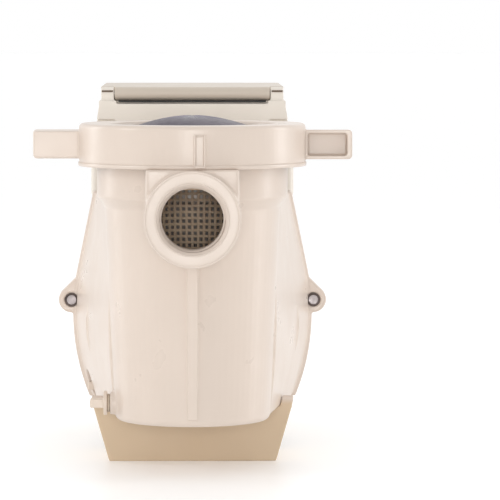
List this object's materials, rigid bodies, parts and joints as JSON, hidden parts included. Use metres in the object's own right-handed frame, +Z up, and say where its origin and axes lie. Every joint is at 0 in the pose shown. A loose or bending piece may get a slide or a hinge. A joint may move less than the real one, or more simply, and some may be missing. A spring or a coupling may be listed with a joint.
{
  "type": "pool pump",
  "caption": "Variable-speed pool pump: strainer pot with clear lid and clamp ring, threaded ports, sealed volute and motor, keypad drive on top.",
  "frame": {"origin": "middle of the footprint, on the ground", "axes": "+X across the pump, +Y from the suction port back along the shaft to the fan cover, +Z up"},
  "size_m": [0.305, 0.612, 0.364],
  "materials": {
    "housing_plastic": "satin almond glass-filled plastic",
    "drive_plastic": "satin warm light-grey plastic",
    "motor_paint": "satin warm-grey paint on cast aluminium",
    "cover_plastic": "satin warm-grey plastic",
    "foot_plastic": "matt warm-grey plastic",
    "lid_clear": "smoke-tinted clear moulding",
    "basket_plastic": "matt brown-grey plastic",
    "seal_rubber": "matt black",
    "plug_plastic": "satin almond plastic",
    "wet_plastic": "matt black glass-filled plastic",
    "stainless": "plain stainless steel",
    "bearing_steel": "ground steel",
    "brass": "plain brass",
    "copper": "bare copper",
    "core_steel": "stacked electrical steel",
    "magnet": "dull grey magnet",
    "seal_ceramic": "ceramic seal face in a cup",
    "seal_carbon": "carbon face with its spring housing",
    "board": "coated circuit board",
    "components": "sleeved capacitors and modules",
    "keypad_plastic": "matt dark overlay",
    "display": "display window",
    "button_grey": "matt grey keys",
    "button_green": "matt green key"
  },
  "bodies": {
    "housing": {"strainer_pot": "housing_plastic", "suction_port": "housing_plastic", "volute_casing": "housing_plastic", "discharge_port": "housing_plastic", "pump_foot": "housing_plastic", "seal_plate": "housing_plastic", "drive_base": "drive_plastic", "drive_case": "drive_plastic", "conduit_entry": "drive_plastic", "front_end_bell": "motor_paint", "motor_shell": "motor_paint", "rear_end_bell": "motor_paint", "fan_cover": "cover_plastic", "motor_foot": "foot_plastic", "strainer_basket": "basket_plastic", "diffuser_o_ring": "seal_rubber", "seal_plate_o_ring": "seal_rubber", "diffuser": "wet_plastic", "flange_bolts": "stainless", "flange_washers": "stainless", "fan_cover_screws": "stainless", "case_screws": "stainless", "hinge_pins": "stainless", "front_bearing_outer": "bearing_steel", "rear_bearing_outer": "bearing_steel", "threaded_inserts": "brass", "bonding_lug": "copper", "stator_windings": "copper", "stator_core": "core_steel", "seal_seat": "seal_ceramic", "drive_board": "board", "drive_components": "components", "keypad_panel": "keypad_plastic", "display_window": "display"},
    "rotor": {"motor_shaft": "stainless", "rotor_core": "core_steel", "rotor_magnets": "magnet", "impeller": "wet_plastic", "impeller_screw": "stainless", "seal_head": "seal_carbon", "cooling_fan": "wet_plastic", "front_bearing_inner": "bearing_steel", "rear_bearing_inner": "bearing_steel", "shaft_slinger": "seal_rubber"},
    "lid": {"strainer_lid": "lid_clear", "lid_o_ring": "seal_rubber"},
    "ring": {"clamp_ring": "housing_plastic"},
    "keypad_lid": {"keypad_cover": "drive_plastic"},
    "pot_plug_seal": {"pot_drain_o_ring": "seal_rubber"},
    "pot_plug": {"pot_drain_plug": "plug_plastic"},
    "volute_plug_seal": {"volute_drain_o_ring": "seal_rubber"},
    "volute_plug": {"volute_drain_plug": "plug_plastic"},
    "speed_button_1_cap": {"speed_button_1": "button_grey"},
    "speed_button_2_cap": {"speed_button_2": "button_grey"},
    "speed_button_3_cap": {"speed_button_3": "button_grey"},
    "speed_button_4_cap": {"speed_button_4": "button_grey"},
    "up_button_cap": {"up_button": "button_grey"},
    "down_button_cap": {"down_button": "button_grey"},
    "start_stop_button_cap": {"start_stop_button": "button_green"}
  },
  "joints": [
    {"name": "shaft_spin", "type": "hinge", "parent": "housing", "child": "rotor", "pos_m": [0, 0, 0.132], "axis": [0, 1, 0], "continuous": true},
    {"name": "lid_rise", "type": "slide", "parent": "housing", "child": "lid", "axis": [0, 0, 1], "range_m": [0, 0.002]},
    {"name": "clamp_turn", "type": "hinge", "parent": "lid", "child": "ring", "pos_m": [0, -0.184, 0.315], "axis": [0, 0, 1], "range_deg": [0, 60]},
    {"name": "cover_hinge", "type": "hinge", "parent": "housing", "child": "keypad_lid", "pos_m": [0, 0.04475, 0.35725], "axis": [1, 0, 0], "range_deg": [0, 100]},
    {"name": "pot_plug_out", "type": "slide", "parent": "housing", "child": "pot_plug_seal", "axis": [-1, 0, 0], "range_m": [0, 0.016]},
    {"name": "pot_plug_turn", "type": "hinge", "parent": "pot_plug_seal", "child": "pot_plug", "pos_m": [-0.079, -0.196, 0.067], "axis": [-1, 0, 0], "range_deg": [0, 2880]},
    {"name": "volute_plug_out", "type": "slide", "parent": "housing", "child": "volute_plug_seal", "axis": [-1, 0, 0], "range_m": [0, 0.016]},
    {"name": "volute_plug_turn", "type": "hinge", "parent": "volute_plug_seal", "child": "volute_plug", "pos_m": [-0.086, -0.021, 0.066], "axis": [-1, 0, 0], "range_deg": [0, 2880]},
    {"name": "speed_button_1_press", "type": "slide", "parent": "housing", "child": "speed_button_1_cap", "axis": [0, 0, -1], "range_m": [0, 0.0012], "stiffness_N_per_m": 900, "springref_m": -0.0005},
    {"name": "speed_button_2_press", "type": "slide", "parent": "housing", "child": "speed_button_2_cap", "axis": [0, 0, -1], "range_m": [0, 0.0012], "stiffness_N_per_m": 900, "springref_m": -0.0005},
    {"name": "speed_button_3_press", "type": "slide", "parent": "housing", "child": "speed_button_3_cap", "axis": [0, 0, -1], "range_m": [0, 0.0012], "stiffness_N_per_m": 900, "springref_m": -0.0005},
    {"name": "speed_button_4_press", "type": "slide", "parent": "housing", "child": "speed_button_4_cap", "axis": [0, 0, -1], "range_m": [0, 0.0012], "stiffness_N_per_m": 900, "springref_m": -0.0005},
    {"name": "up_button_press", "type": "slide", "parent": "housing", "child": "up_button_cap", "axis": [0, 0, -1], "range_m": [0, 0.0012], "stiffness_N_per_m": 900, "springref_m": -0.0005},
    {"name": "down_button_press", "type": "slide", "parent": "housing", "child": "down_button_cap", "axis": [0, 0, -1], "range_m": [0, 0.0012], "stiffness_N_per_m": 900, "springref_m": -0.0005},
    {"name": "start_stop_button_press", "type": "slide", "parent": "housing", "child": "start_stop_button_cap", "axis": [0, 0, -1], "range_m": [0, 0.0012], "stiffness_N_per_m": 900, "springref_m": -0.0005}
  ],
  "couplings": [
    {"joint": "lid_rise", "follows": "clamp_turn", "m_per_rad": 0.001908},
    {"joint": "pot_plug_turn", "follows": "pot_plug_out", "rad_per_m": 3138.5},
    {"joint": "volute_plug_turn", "follows": "volute_plug_out", "rad_per_m": 3138.5}
  ]
}
